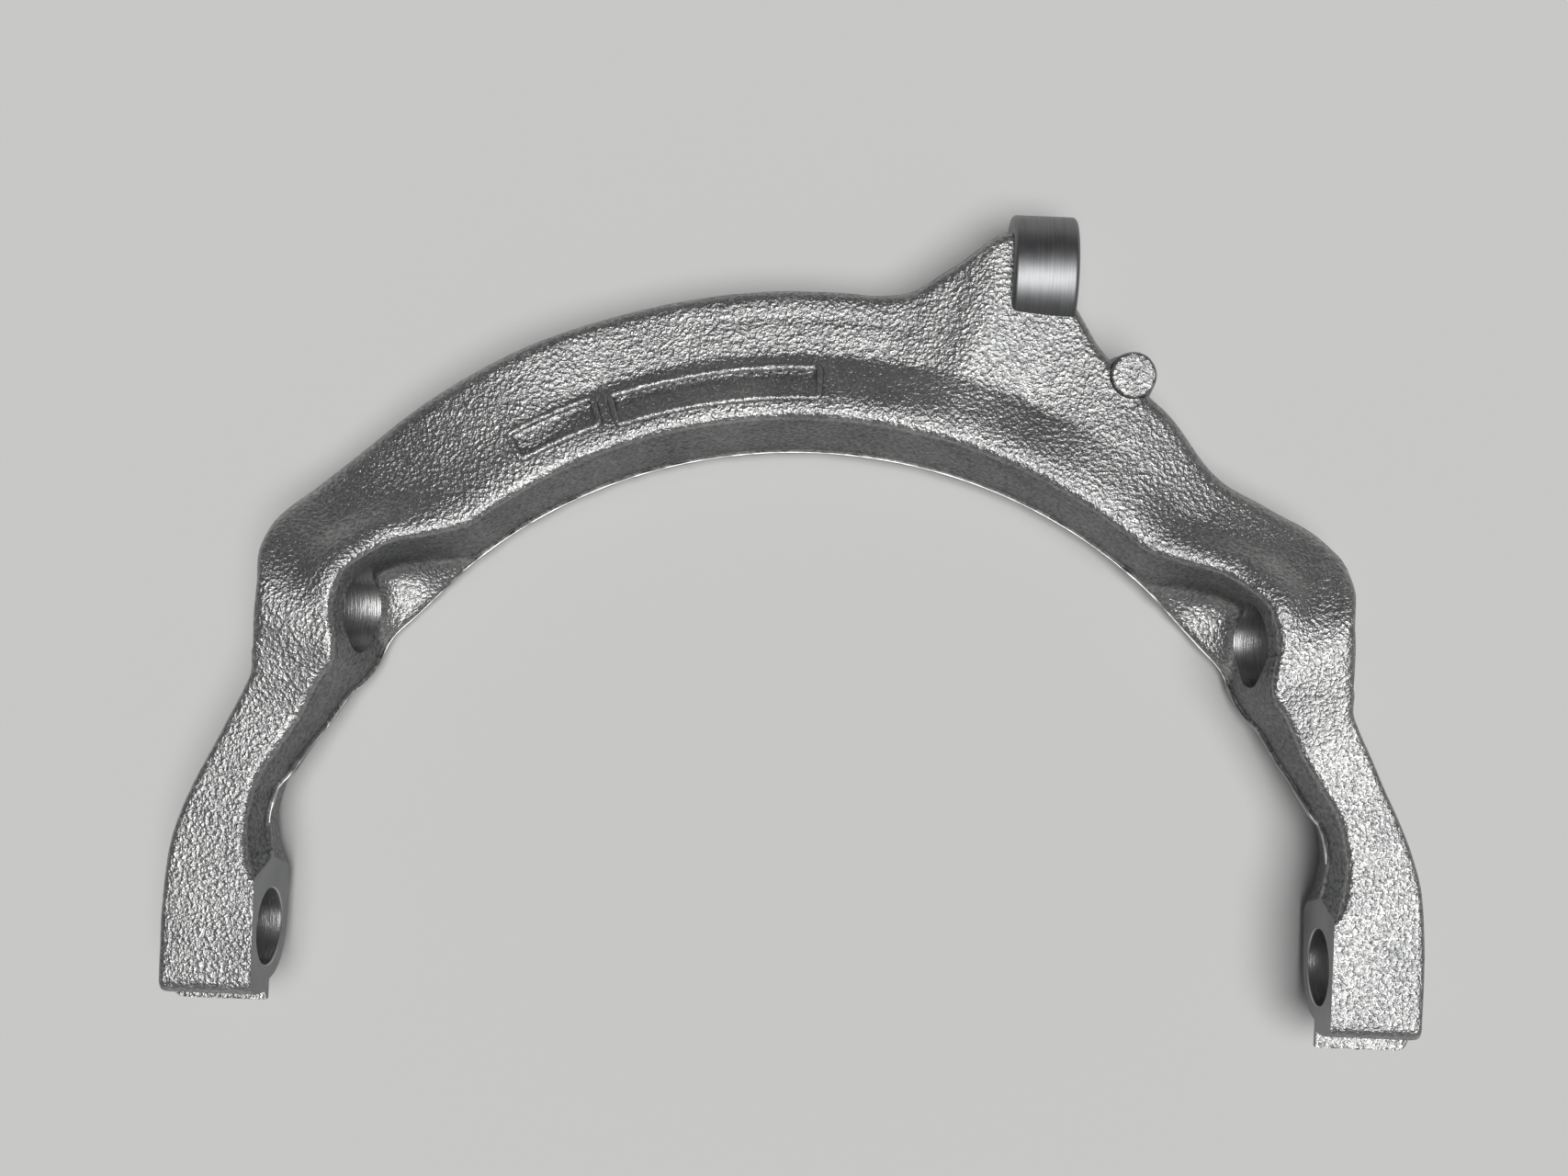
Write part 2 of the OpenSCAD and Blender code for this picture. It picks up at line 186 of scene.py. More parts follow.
back_z = [
    (0, -back_depth), (down(0.15), -back_depth), (down(0.45), mix(-back_depth, -leg_back, 0.55)),
    (down(0.78), -leg_back), (90, -tip_r), (far, -tip_r),
]
inner_rounding = [(0, rim_round), (down(0.15), rim_round), (down(0.4), leg_round), (far, leg_round)]
outer_rounding = [(0, outer_round), (down(0.1), outer_round), (down(0.3), edge_round), (far, edge_round)]


def corners(s, right):
    """Corners (r, z, rounding, steps) of a limb's sections at the places s, the inner rim first."""
    arm = along(arm_bulge, s) if right else np.zeros_like(s)
    share = arm / arm_out
    closing = np.clip((s - 90 - tip_end + tip_roll) / tip_roll, 0, 1)
    tip_share = np.cbrt(1 - closing**3)
    inner_top = mix(ledge_half, along(inner_z, s), tip_share)
    outer_top = mix(ledge_half, mix(along(outer_z, s), lug_z + arm_t / 2, share), tip_share)
    inner_split = along(parting_z, s)
    outer_split = mix(inner_split, lug_z, share)
    tip_back = -np.maximum(ledge_half, np.sqrt(np.maximum(0, tip_r**2 - (s - 90) ** 2)))
    inner_low = np.where(s <= 90, along(back_z, s), tip_back)
    outer_low = mix(inner_low, lug_z - arm_t / 2, share)
    inner = along(inner_edge, s)
    outer = along(outer_edge, s) + arm - (along(waist_in, s) if right else 0)
    inner_foot = np.minimum(along(inner_parting, s), inner - (inner_top - inner_split) * draft / 2)
    outer_foot = outer + (outer_top - outer_split) * draft
    crease = inner + 0.5 * np.minimum(outer - inner, arch_w)
    crease_z = mix(inner_top, outer_top, 0.5) - along(sag, s) * (1 - 0.5 * share)
    wall_foot = mix(inner_foot, inner, foot_rise) + along(gusset_out, s)
    wall_foot_z = mix(inner_split + flash_half, inner_top, foot_rise)
    third = flash_half / 3
    return [
        (inner, inner_top, along(inner_rounding, s), 8),
        (inner + land_w, mix(inner_top, crease_z, land_fall), land_w / 2, 5),
        (crease, crease_z, slope_round, 8),
        (outer, outer_top, along(outer_rounding, s), 7),
        (outer_foot, outer_split + flash_half, 0, 0),
        (outer_foot + flash_out, outer_split + third, 0, 0),
        (outer_foot + flash_out, outer_split - third, 0, 0),
        (outer_foot, outer_split - flash_half, 0, 0),
        (outer_foot + (outer_low - outer_split) * draft, outer_low, back_round, 5),
        (inner_foot - (inner_low - inner_split) * draft, inner_low, back_round, 5),
        (inner_foot, inner_split - flash_half, 0, 0),
        (inner_foot - flash_out, inner_split - third, 0, 0),
        (inner_foot - flash_out, inner_split + third, 0, 0),
        (inner_foot, inner_split + flash_half, 0, 0),
        (wall_foot, wall_foot_z, foot_round, 5),
    ]


# Points put into the straight stretch after each corner of a section, the largest share of a stretch that
# one rounding takes, and the shortest stretch
stretch_points = (2, 6, 13, 18, 0, 0, 0, 3, 14, 3, 0, 0, 0, 4, 16)
round_share = 0.46
shortest = 0.01


def ring_points_before(corner):
    """Number of a ring's points that come before a corner."""
    eased = [steps for _, _, _, steps in corners(np.zeros(1), False)]
    return corner + sum(eased[:corner]) + sum(stretch_points[:corner])


def limb(s, side, ledge):
    """Rings of points of one limb at the places s, as an array of rings by points by X, Y, Z."""
    found = corners(s, side > 0)
    outline = []
    for i, (r, z, length, steps) in enumerate(found):
        point = np.stack([r, z], 1)
        if steps == 0:
            outline.append([point])
            continue
        ends = []
        for other in (found[i - 1], found[(i + 1) % len(found)]):
            way = np.stack([other[0], other[1]], 1) - point
            reach = np.minimum(round_share, length / np.maximum(np.linalg.norm(way, axis=1), shortest))
            ends.append(point + way * reach[:, None])
        turn = np.linspace(0, 1, steps + 1)
        outline.append([ends[0] * (1 - t) ** 2 + point * 2 * t * (1 - t) + ends[1] * t * t for t in turn])
    points = []
    for i, arc in enumerate(outline):
        points += arc
        follow = outline[(i + 1) % len(outline)][0]
        count = stretch_points[i]
        points += [mix(arc[-1], follow, k / (count + 1)) for k in range(1, count + 1)]
    section = np.stack(points, 1)
    r, z = section[..., 0], section[..., 1]
    closing = np.clip((s - 90 - tip_end) / ledge, 0, 1)
    drawn_in = left_ledge * (1 - np.sqrt(1 - closing**2))
    r = np.where(r > tip_x + tip_w / 2, r - drawn_in[:, None], r)
    angle = np.radians(np.minimum(s, 90))[:, None]
    past = np.maximum(s - 90, 0)[:, None]
    x = side * r * np.sin(angle)
    y = np.where(past > 0, -past, r * np.cos(angle)) - leg_drop
    return np.stack([x, y, z], 2)


sections_to_bore, sections_past_bore = 300, 14
roll_step, ledge_step = 7.5, 22.5
steps_to_bore = np.linspace(0, 90, sections_to_bore + 1)[1:]
steps_past_bore = np.linspace(90, 90 + tip_end - tip_roll, sections_past_bore + 1)[1:]
roll_turn = np.sin(np.radians(np.arange(roll_step, 91, roll_step)))
steps_of_roll = 90 + tip_end - tip_roll * (1 - roll_turn)
ledge_turn = np.sin(np.radians(np.arange(ledge_step, 91, ledge_step)))
steps = np.concatenate([steps_to_bore, steps_past_bore, steps_of_roll])
left_steps = np.concatenate([steps, 90 + tip_end + left_ledge * ledge_turn])
right_steps = np.concatenate([steps, 90 + tip_end + right_ledge * ledge_turn])
left_limb = limb(left_steps, -1, left_ledge)
right_limb = limb(right_steps, 1, right_ledge)
rings = np.concatenate([left_limb[::-1], limb(np.zeros(1), 1, right_ledge), right_limb])

# Two shallow bare plates are sunk into the arch's slope, as bearings and radii round the sleeve's axis
plates = [(-31.0, -22.2, 115.2, 121.3), (-20.5, 0.5, 113.8, 120.5)]
plate_depth = 0.5
plate_inset = 0.4  # from the middle of the frame's bar to the plate's edge
plate_ease = 0.7  # width of the slope down to the plate
bearing = np.degrees(np.arctan2(rings[..., 0], rings[..., 1] + leg_drop))
radius = np.hypot(rings[..., 0], rings[..., 1] + leg_drop)
for low, high, inner, outer in plates:
    across = np.minimum(radius - inner, outer - radius)
    length = np.radians(np.minimum(bearing - low, high - bearing)) * radius
    inside = np.clip((np.minimum(across, length) - plate_inset) / plate_ease, 0, 1)
    rings[..., 2] -= np.where(rings[..., 2] > 0, plate_depth * inside * inside * (3 - 2 * inside), 0)

# A faint trough of the forging's flow runs along the shelf of the crown
trough_r = 131.0
trough_half = 1.8
trough_depth = 0.15
trough_from, trough_to, trough_ease = -14.0, 12.0, 8.0
across = np.clip(1 - np.abs(radius - trough_r) / trough_half, 0, 1)
length = np.clip(np.minimum(bearing - trough_from, trough_to - bearing) / trough_ease, 0, 1)
rings[..., 2] -= np.where(rings[..., 2] > 0, trough_depth * across * across * (3 - 2 * across) * length, 0)

ring_count, ring_size = rings.shape[:2]
end_x, end_y = tip_x + tip_w / 2, -leg_drop - tip_end
ends = [(-end_x, end_y - left_ledge, 0), (end_x, end_y - right_ledge, 0)]
points = np.concatenate([rings.reshape(-1, 3), np.array(ends)]) * mm
faces = []
for i in range(ring_count - 1):
    for j in range(ring_size):
        a, b = i * ring_size + j, i * ring_size + (j + 1) % ring_size
        faces.append((a, b, b + ring_size, a + ring_size))
last = (ring_count - 1) * ring_size
for j in range(ring_size):
    k = (j + 1) % ring_size
    faces.append((j, last + ring_size, k))
    faces.append((last + j, last + k, last + ring_size + 1))


class Strand:
    """A socket of a node tree that takes part in Python sums, and adds the nodes for them."""

    def __init__(self, tree, socket=None):
        self.tree = tree
        self.socket = socket

    def feed(self, node, inputs):
        """Sets sockets of a node to plain values, or links strands to them."""
        for name, value in inputs.items():
            socket = node.inputs[name]
            if isinstance(value, Strand):
                self.tree.links.new(value.socket, socket)
            else:
                socket.default_value = value

    def add(self, kind, settings, inputs, output=0):
        """Adds a node of any kind, and gives a strand on one of its outputs."""
        node = self.tree.nodes.new(kind)
        for name, value in settings.items():
            if name == "stops":
                ramp = node.color_ramp
                while len(ramp.elements) < len(value):
                    ramp.elements.new(1.0)
                for element, (place, colour) in zip(ramp.elements, value):
                    element.position = place
                    element.color = (*colour, 1.0)
            else:
                setattr(node, name, value)
        self.feed(node, inputs)
        return Strand(self.tree, node.outputs[output] if node.outputs else None)

    def maths(self, operation, first, second):
        return self.add("ShaderNodeMath", {"operation": operation}, {0: first, 1: second})

    def __add__(self, other):
        return self.maths("ADD", self, other)

    def __radd__(self, other):
        return self.maths("ADD", other, self)

    def __sub__(self, other):
        return self.maths("SUBTRACT", self, other)

    def __rsub__(self, other):
        return self.maths("SUBTRACT", other, self)

    def __mul__(self, other):
        return self.maths("MULTIPLY", self, other)

    def __rmul__(self, other):
        return self.maths("MULTIPLY", other, self)

    def __truediv__(self, other):
        return self.maths("DIVIDE", self, other)

    def __rtruediv__(self, other):
        return self.maths("DIVIDE", other, self)


def new_finish(name):
    """A material, a strand to build its nodes on, and its main shader."""
    finish = bpy.data.materials.new(name)
    finish.use_nodes = True
    tree = finish.node_tree
    return finish, Strand(tree), tree.nodes["Principled BSDF"]


# The forging keeps its shot-blasted skin: an orange peel of small dents, with painted shade inside them and
# a painted highlight on the peaks, and painted shade that makes the steep walls darker
forged, start, shader = new_finish("shot_blasted_forging")
painted_dent_shade, grey_steel, painted_peak_highlight = (0.048, 0.05, 0.054), (0.285, 0.288, 0.286), (0.62, 0.625, 0.605)
place = start.add("ShaderNodeTexCoord", {}, {}, "Object")
facing = start.add("ShaderNodeTexCoord", {}, {}, "Normal")
tilt = start.add("ShaderNodeSeparateXYZ", {}, {"Vector": facing}, "Z")
# Painted shade: steep walls get a darker colour and level faces a lighter one, by how far each faces up or
# down
wall_shade_level = start.add(
    "ShaderNodeMapRange",
    {"interpolation_type": "SMOOTHSTEP"},
    {"Value": tilt * tilt, "From Min": 0.03, "From Max": 0.3},
)
dents = {"Vector": place, "Scale": 1200.0, "Detail": 2.0, "Roughness": 0.55}
grain = start.add("ShaderNodeTexNoise", {}, dents)
blotch = start.add("ShaderNodeTexNoise", {}, {"Vector": place, "Scale": 60.0, "Detail": 3.0})
# Painted shade and painted highlight of the grain: the noise that drives the bump colours its dents dark and
# its peaks bright
colour = start.add(
    "ShaderNodeValToRGB",
    {"stops": [(0.1, painted_dent_shade), (0.5, grey_steel), (0.9, painted_peak_highlight)]},
    {"Fac": (grain - 0.5) * 0.6 + (blotch - 0.5) * 0.3 + wall_shade_level * 0.34 + 0.25},
)
bump = start.add("ShaderNodeBump", {}, {"Height": grain, "Strength": 1.0, "Distance": 0.0004})
gloss = 0.6 - grain * 0.4
start.feed(shader, {"Base Color": colour, "Roughness": gloss, "Normal": bump, "Metallic": 1.0})


def new_piece(name, points, faces, finish):
    """A mesh object at the origin, with its faces turned outwards."""
    mesh = bpy.data.meshes.new(name)
    mesh.from_pydata([tuple(p) for p in points], [], faces)
    shell = bmesh.new()
    shell.from_mesh(mesh)
    bmesh.ops.recalc_face_normals(shell, faces=shell.faces)
    shell.to_mesh(mesh)
    shell.free()
    mesh.materials.append(finish)
    piece = bpy.data.objects.new(name, mesh)
    bpy.context.scene.collection.objects.link(piece)
    return piece


body = new_piece("forged_body", points, faces, forged)

# The test knob is a low round boss of the same forging on the arch's outer edge, with a drafted side. It is
# formed in the die together with the body.
knob_a = 28.3  # bearing from the crown
knob_off = 0.8  # from the arch's outer edge to the knob's axis
knob_r = 4.8  # radius of its top
knob_h = 1.5  # height over the outer edge
knob_soft = 0.7  # rounding of its rim
knob_eye = 0.4  # radius of its innermost ring of points
knob_facets = 48
side_rings, face_rings = 22, 6
knob_way = math.sin(math.radians(knob_a)), math.cos(math.radians(knob_a))
knob_at = (arch_r + knob_off) * knob_way[0], (arch_r + knob_off) * knob_way[1] - leg_drop
knob_top = float(along(outer_z, np.array([knob_a]))[0]) + knob_h
knob_heights = np.linspace(-parting, knob_top - knob_soft, side_rings)
knob_side = [(knob_r + (knob_top - z) * draft, z) for z in knob_heights]
knob_rim = [
    (knob_r - knob_soft * (1 - math.cos(t)), knob_top - knob_soft * (1 - math.sin(t)))
    for t in np.radians((30, 60, 90))
]
knob_face = [(r, knob_top) for r in np.linspace(knob_r - knob_soft, knob_eye, face_rings + 1)[1:]]


def turned(name, profile, centre, axis, facets, finish):
    """A solid turned from a profile of (radius, height) points about an axis, X or Z, through a centre."""
    points, faces = [], []
    for k in range(facets):
        angle = 2 * math.pi * k / facets
        for r, h in profile:
            a, b = r * math.cos(angle), r * math.sin(angle)
            offset = (h, a, b) if axis == "X" else (a, b, h)
            points.append([(c + o) * mm for c, o in zip(centre, offset)])
    size = len(profile)
    for k in range(facets):
        here, there = k * size, (k + 1) % facets * size
        for i in range(size - 1):
            faces.append((here + i, there + i, there + i + 1, here + i + 1))
    faces.append([k * size for k in range(facets)])
    faces.append([k * size + size - 1 for k in range(facets)])
    return new_piece(name, points, faces, finish)


def settle(piece):
    """Turns a piece's modifiers into its plain mesh."""
    seen = piece.evaluated_get(bpy.context.evaluated_depsgraph_get())
    mesh = bpy.data.meshes.new_from_object(seen)
    piece.modifiers.clear()
    piece.data = mesh


def join(piece, operation, tool):
    """Adds a tool's solid to a piece or cuts it away. The new faces keep the tool's finish."""
    change = piece.modifiers.new("join", "BOOLEAN")
    change.operation = operation
    change.solver = "EXACT"
    change.material_mode = "TRANSFER"
    change.object = tool
    settle(piece)
    bpy.data.objects.remove(tool)


knob = turned("knob", knob_side + knob_rim + knob_face, (*knob_at, 0), "Z", knob_facets, forged)
join(body, "UNION", knob)

# The blasted skin: shot and scale leave the whole forging slightly lumpy, in grains of a millimetre or two
# over longer soft waves. Each point of the skin moves along its own normal.


def new_tree(name, sizes):
    """A Geometry Nodes tree, a strand to build its nodes on, and strands on its inputs by their names."""
    tree = bpy.data.node_groups.new(name, "GeometryNodeTree")
    for size, kind in {"Geometry": "Geometry", **sizes}.items():
        tree.interface.new_socket(size, in_out="INPUT", socket_type="NodeSocket" + kind)
    tree.interface.new_socket("Result", in_out="OUTPUT", socket_type="NodeSocketGeometry")
    start = Strand(tree)
    return tree, start, {size: start.add("NodeGroupInput", {}, {}, size) for size in ("Geometry", *sizes)}


def end_tree(start, shape, finish):
    """Ends a tree in one plain mesh with its finish."""
    whole = start.add("GeometryNodeRealizeInstances", {}, {"Geometry": shape})
    done = start.add("GeometryNodeSetMaterial", {}, {"Geometry": whole, "Material": finish})
    start.add("NodeGroupOutput", {}, {"Result": done})


def shape_by(tree, piece, values):
    """Runs a piece through a tree whose inputs get the values, and keeps the result as its plain mesh."""
    change = piece.modifiers.new(tree.name, "NODES")
    change.node_group = tree
    for socket in tree.interface.items_tree:
        if socket.name in values:
            change[socket.identifier] = values[socket.name]
    settle(piece)


skin, start, want = new_tree(
    "blasted_skin",
    {
        "Grain": "Float", "Grain height": "Float", "Wave": "Float", "Wave height": "Float",
        "Finish": "Material",
    },
)


skin_level = 0.75


def lumps(size, height, seed):
    """Height of a noise of one grain size at each point, almost all of it below the drawn skin."""
    noise = start.add(
        "ShaderNodeTexNoise",
        {"noise_dimensions": "4D"},
        {"W": seed, "Scale": 1 / want[size], "Detail": 1.5},
    )
    return (noise - skin_level) * want[height]


height = lumps("Grain", "Grain height", 3.0) + lumps("Wave", "Wave height", 8.0)
normal = start.add("GeometryNodeInputNormal", {}, {})
offset = start.add("ShaderNodeVectorMath", {"operation": "SCALE"}, {"Vector": normal, "Scale": height})
moved = start.add("GeometryNodeSetPosition", {}, {"Geometry": want["Geometry"], "Offset": offset})
end_tree(start, moved, want["Finish"])
grain_sizes = {"Grain": 1.4 * mm, "Grain height": 0.12 * mm}
wave_sizes = {"Wave": 8.0 * mm, "Wave height": 0.3 * mm}
shape_by(skin, body, {**grain_sizes, **wave_sizes, "Finish": forged})

# The shift lug is a short drum at the end of the arm. It is turned to bare steel with round rims and keeps
# the tool's fine lines round it. The slot of the shift rail slides along it.
cut, start, shader = new_finish("turned_steel")
line_dark, line_bright = (0.18, 0.184, 0.191), (0.30, 0.30, 0.30)
round_axis = (1.0, 0.03, 0.03)


def tool_lines(place, fineness, detail):
    """A noise drawn out round the X axis, like the lines that a cutting tool leaves."""
    stretched = place.add("ShaderNodeMapping", {}, {"Vector": place, "Scale": round_axis})
    return place.add("ShaderNodeTexNoise", {}, {"Vector": stretched, "Scale": fineness, "Detail": detail})


place = start.add("ShaderNodeTexCoord", {}, {}, "Object")
lines = tool_lines(place, 3200.0, 3.0)
smear = start.add("ShaderNodeTexNoise", {}, {"Vector": place, "Scale": 140.0, "Detail": 4.0})
colour = start.add(
    "ShaderNodeValToRGB",
    {"stops": [(0.3, line_dark), (0.75, line_bright)]},
    {"Fac": lines * 0.6 + smear * 0.4},
)
bump = start.add("ShaderNodeBump", {}, {"Height": lines, "Strength": 0.25, "Distance": 0.00006})
gloss = 0.35 + smear * 0.2
start.feed(shader, {"Base Color": colour, "Roughness": gloss, "Normal": bump, "Metallic": 1.0})
rim = 1.0  # rounding of the lug's rims
lug_eye = 0.5  # radius of its innermost ring of points
lug_facets = 160
rim_step = 10
turn = np.radians(np.arange(0, 91, rim_step))
half = lug_w / 2
lug_profile = [(lug_eye, -half)]
lug_profile += [(lug_d / 2 - rim + rim * math.sin(t), -half + rim - rim * math.cos(t)) for t in turn]
lug_profile += [(lug_d / 2 - rim + rim * math.cos(t), half - rim + rim * math.sin(t)) for t in turn]
lug_profile += [(lug_eye, half)]
lug = turned("lug", lug_profile, (lug_x, lug_y, lug_z), "X", lug_facets, cut)
join(body, "UNION", lug)

# Cutting takes the tips' inner faces, the seats outside the elbows and the two lines of bores to bare steel.
# The bores keep the brighter rings of the boring bar.
bored, start, shader = new_finish("bored_steel")
ring_dark, ring_bright = (0.38, 0.382, 0.384), (0.56, 0.56, 0.552)
lines = tool_lines(start.add("ShaderNodeTexCoord", {}, {}, "Object"), 5200.0, 2.0)
colour = start.add("ShaderNodeValToRGB", {"stops": [(0.3, ring_dark), (0.7, ring_bright)]}, {"Fac": lines})
bump = start.add("ShaderNodeBump", {}, {"Height": lines, "Strength": 1.0, "Distance": 0.00008})
start.feed(shader, {"Base Color": colour, "Roughness": 0.36, "Normal": bump, "Metallic": 1.0})
reach = 150.0  # half the length of the boring tools
mill_z = 20.0  # half the height of the milling cut
mill_up = 22.5  # how far a milled face reaches above the tip bore's axis
mill_past = 1.0  # how far the cut runs out past the ledges
mill_low, mill_high = -leg_drop - far + 90 - mill_past, -leg_drop + mill_up
corners_of_mill = [
    (x, y, z) for x in (-tip_x, tip_x) for y in (mill_low, mill_high) for z in (-mill_z, mill_z)
]
sides_of_mill = [(0, 1, 3, 2), (4, 6, 7, 5), (0, 4, 5, 1), (2, 3, 7, 6), (0, 2, 6, 4), (1, 5, 7, 3)]
milling = new_piece("milling", np.array(corners_of_mill) * mm, sides_of_mill, cut)
join(body, "DIFFERENCE", milling)
seat_r = 15.0  # radius of the seats outside the elbows
pivot_r = 9.0  # radius of the pivot bores
block_r = 8.0  # radius of the tip bores, which hold the sliding blocks
mouth = 0.25  # chamfer of the tip bores' inner mouths
mouth_past = 1.0  # how far that chamfer's cone runs on, clear of the milled faces
seat_facets, bore_facets = 128, 160
sharp_from = math.radians(38)
for side in (-1, 1):
    seat_profile = [(seat_r, side * elbow_x), (seat_r, side * reach)]
    seat = turned("seat", seat_profile, (0, 0, 0), "X", seat_facets, cut)
    join(body, "DIFFERENCE", seat)
pivot = turned("pivot", [(pivot_r, -reach), (pivot_r, reach)], (0, 0, 0), "X", bore_facets, bored)
join(body, "DIFFERENCE", pivot)
block_profile = [
    (block_r, -reach), (block_r, -tip_x - mouth), (block_r + mouth + mouth_past, -tip_x + mouth_past),
    (block_r + mouth + mouth_past, tip_x - mouth_past), (block_r, tip_x + mouth), (block_r, reach),
]
block = turned("block", block_profile, (0, -leg_drop, 0), "X", bore_facets, bored)
join(body, "DIFFERENCE", block)
body.data.shade_smooth()
body.data.set_sharp_from_angle(angle=sharp_from)
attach(body, "root")
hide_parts("shift_fork")

# The trimmed edge of the flash inside the fork. A press shears the flash off there and leaves a thin torn
# line of bare steel, wider and narrower by turns, from one tip's milled face over the arch to the other's.
sheared, start, shader = new_finish("sheared_steel")
start.feed(shader, {"Base Color": (0.56, 0.56, 0.545, 1.0), "Roughness": 0.4, "Metallic": 1.0})
torn, start, want = new_tree("torn_edge", {"Bar": "Float", "Tear": "Float", "Finish": "Material"})
bar_spacing = 0.5 * mm
narrowest = 0.35
path = start.add("GeometryNodeMeshToCurve", {}, {"Mesh": want["Geometry"]})
spaced = start.add("GeometryNodeResampleCurve", {"mode": "LENGTH"}, {"Curve": path, "Length": bar_spacing})
tear = start.add("ShaderNodeTexNoise", {}, {"Scale": 1 / want["Tear"], "Detail": 3.0})
wide = start.add(
    "ShaderNodeMapRange", {}, {"Value": tear, "From Min": 0.35, "From Max": 0.65, "To Min": narrowest}
)
rod = start.add("GeometryNodeCurvePrimitiveCircle", {}, {"Resolution": 8, "Radius": want["Bar"]})
swept = start.add("GeometryNodeCurveToMesh", {}, {"Curve": spaced, "Profile Curve": rod, "Scale": wide})
end_tree(start, swept, want["Finish"])
upper_flash_corner = 12
clear_of_mill = 1.0
edge_points = rings[:, ring_points_before(upper_flash_corner)]
edge_points = edge_points[edge_points[:, 1] > mill_high - clear_of_mill] * mm
edge_links = [(i, i + 1) for i in range(len(edge_points) - 1)]
edge_mesh = bpy.data.meshes.new("torn_edge")
edge_mesh.from_pydata([tuple(p) for p in edge_points], edge_links, [])
edge = bpy.data.objects.new("torn_edge", edge_mesh)
bpy.context.scene.collection.objects.link(edge)
shape_by(torn, edge, {"Bar": 0.4 * mm, "Tear": 4.0 * mm, "Finish": sheared})
edge.data.shade_smooth()
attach(edge, "root")

# Two low frames stand on the arch's slope, each round one of the bare plates. Engraved grooves in the die
# form them, so they are round bars with soft corners that follow the blasted skin under them.
bars, start, want = new_tree(
    "plate_frame",
    {
        "Skin": "Object", "Length": "Float", "Width": "Float", "Radius": "Float", "Bearing": "Float",
        "Corner": "Float", "Bar": "Float", "Finish": "Material",
    },
)
bar_spacing = 0.4 * mm
bar_lift = 0.3 * mm
drop_from = 50.0 * mm
outline = start.add(
    "GeometryNodeCurvePrimitiveQuadrilateral", {}, {"Width": want["Length"], "Height": want["Width"]}
)
softened = start.add(
    "GeometryNodeFilletCurve", {"mode": "POLY"}, {"Curve": outline, "Count": 6, "Radius": want["Corner"]}
)
spaced = start.add(
    "GeometryNodeResampleCurve", {"mode": "LENGTH"}, {"Curve": softened, "Length": bar_spacing}
)
flat = start.add("GeometryNodeInputPosition", {}, {})
flat_x = start.add("ShaderNodeSeparateXYZ", {}, {"Vector": flat}, "X")
flat_y = start.add("ShaderNodeSeparateXYZ", {}, {"Vector": flat}, "Y")
bearing = want["Bearing"] + flat_x / want["Radius"]
radius = want["Radius"] + flat_y
over_x = radius * start.maths("SINE", bearing, 0.0)
over_y = radius * start.maths("COSINE", bearing, 0.0) - leg_drop * mm
above = start.add("ShaderNodeCombineXYZ", {}, {"X": over_x, "Y": over_y, "Z": drop_from})
target = start.add("GeometryNodeObjectInfo", {}, {"Object": want["Skin"]}, "Geometry")
landed = start.add(
    "GeometryNodeRaycast",
    {},
    {"Target Geometry": target, "Source Position": above, "Ray Direction": (0.0, 0.0, -1.0)},
    "Hit Position",
)
laid = start.add(
    "GeometryNodeSetPosition", {}, {"Geometry": spaced, "Position": landed, "Offset": (0.0, 0.0, bar_lift)}
)
rod = start.add("GeometryNodeCurvePrimitiveCircle", {}, {"Resolution": 12, "Radius": want["Bar"]})
swept = start.add("GeometryNodeCurveToMesh", {}, {"Curve": laid, "Profile Curve": rod})
end_tree(start, swept, want["Finish"])
for name, (low, high, inner, outer) in zip(("left_frame", "right_frame"), plates):
    middle = (inner + outer) / 2
    piece = new_piece(name, [], [], forged)
    values = {
        "Skin": body,
        "Length": math.radians(high - low) * middle * mm,
        "Width": (outer - inner) * mm,
        "Radius": middle * mm,
        "Bearing": math.radians(low + high) / 2,
        "Corner": 0.9 * mm,
        "Bar": 0.75 * mm,
        "Finish": forged,
    }
    shape_by(bars, piece, values)
    piece.data.shade_smooth()
    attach(piece, "root")

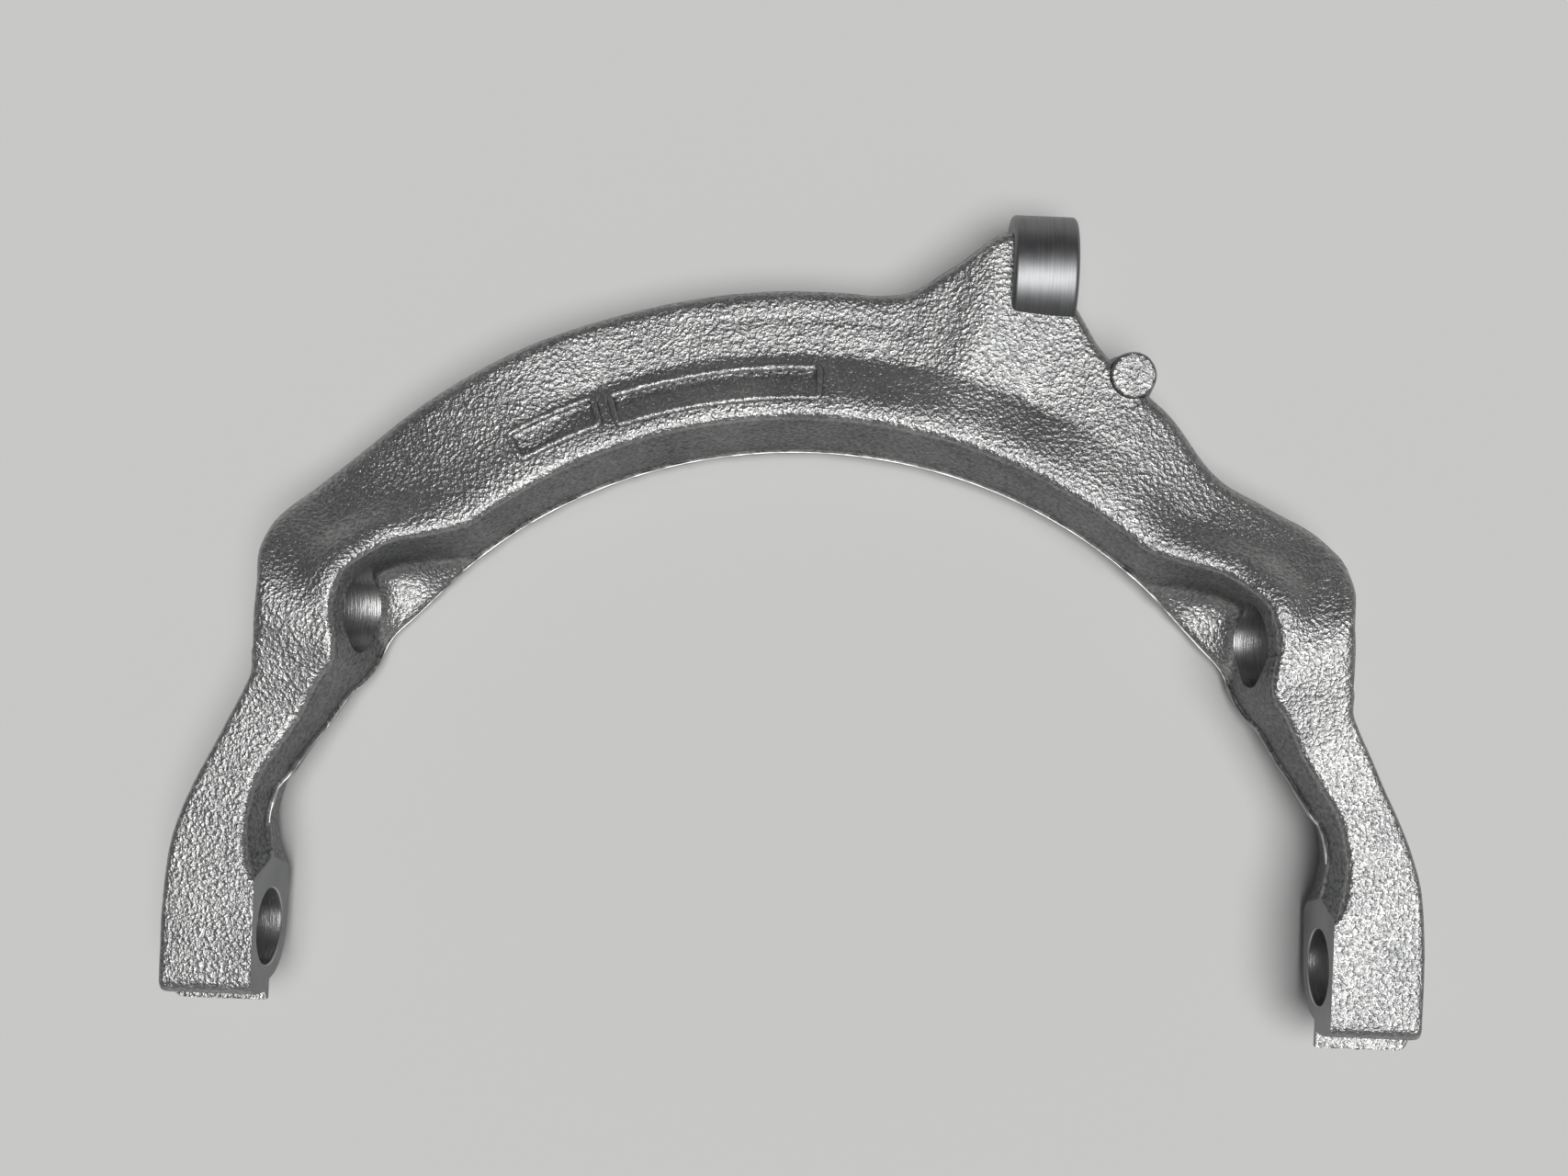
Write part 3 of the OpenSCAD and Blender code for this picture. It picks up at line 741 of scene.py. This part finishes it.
# The floor is a plain pale sheet of board that sweeps up far from the fork, as in a photo studio. It lies
# just under the fork's flat back.
floor_gap = 0.1  # room under the flat back, in millimetres
floor_z = -(back_depth + floor_gap) * mm
flat_r, sweep_r = 3.0, 3.0  # radii of the flat middle and of the sweep, in metres
sweep_step, round_step = 2.5, 3.75
sweep_turn = np.radians(np.arange(0, 51, sweep_step))
round_turn = np.radians(np.arange(0, 360, round_step))
board_rings = [(flat_r + sweep_r * math.sin(t), floor_z + sweep_r * (1 - math.cos(t))) for t in sweep_turn]
board_points = [(r * math.cos(a), r * math.sin(a), z) for r, z in board_rings for a in round_turn]
count = len(round_turn)
board_faces = [list(range(count))]
for i in range(len(board_rings) - 1):
    for j in range(count):
        k = (j + 1) % count
        board_faces.append((i * count + j, i * count + k, (i + 1) * count + k, (i + 1) * count + j))
board, start, shader = new_finish("pale_board")
start.feed(shader, {"Base Color": (0.67, 0.67, 0.662, 1.0), "Roughness": 0.9, "Specular IOR Level": 0.1})
floor = new_piece("floor", board_points, board_faces, board)

# The light is one wide soft lamp overhead, a little to the right and the front. The room round it is dim, so
# that walls turned away from the lamp stay dark.
lamp_from = (0.22, -0.25, 1.5)
lamp_power = 2.55
lamp_spread = math.radians(40)
room_grey = (0.05, 0.05, 0.053, 1.0)
lamp = bpy.data.lights.new("lamp", "SUN")
lamp.energy = lamp_power
lamp.angle = lamp_spread
lamp_at = bpy.data.objects.new("lamp", lamp)
lamp_at.location = lamp_from
lamp_at.rotation_euler = lamp_at.location.to_track_quat("Z", "Y").to_euler()
bpy.context.scene.collection.objects.link(lamp_at)
room = bpy.data.worlds.new("room")
room.use_nodes = True
room.node_tree.nodes["Background"].inputs["Color"].default_value = room_grey
bpy.context.scene.world = room

# The camera looks straight down on the fork. The photo's middle lies off the lens's axis, so the picture is
# shifted by that much.
photo_w, photo_h = 1707, 1280
focal_px = 1850
axis_px_x, axis_px_y = 915, 720
camera_from = (0.00746, -0.00684, 0.3565)
camera_turn = math.radians(2.25)
camera = bpy.data.cameras.new("camera")
camera.sensor_width = 36.0
camera.lens = camera.sensor_width * focal_px / photo_w
camera.shift_x = (photo_w / 2 - axis_px_x) / photo_w
camera.shift_y = (axis_px_y - photo_h / 2) / photo_w
camera_at = bpy.data.objects.new("camera", camera)
camera_at.location = camera_from
camera_at.rotation_euler = (0, 0, camera_turn)
bpy.context.scene.collection.objects.link(camera_at)
bpy.context.scene.camera = camera_at
bpy.context.scene.view_settings.view_transform = "Standard"
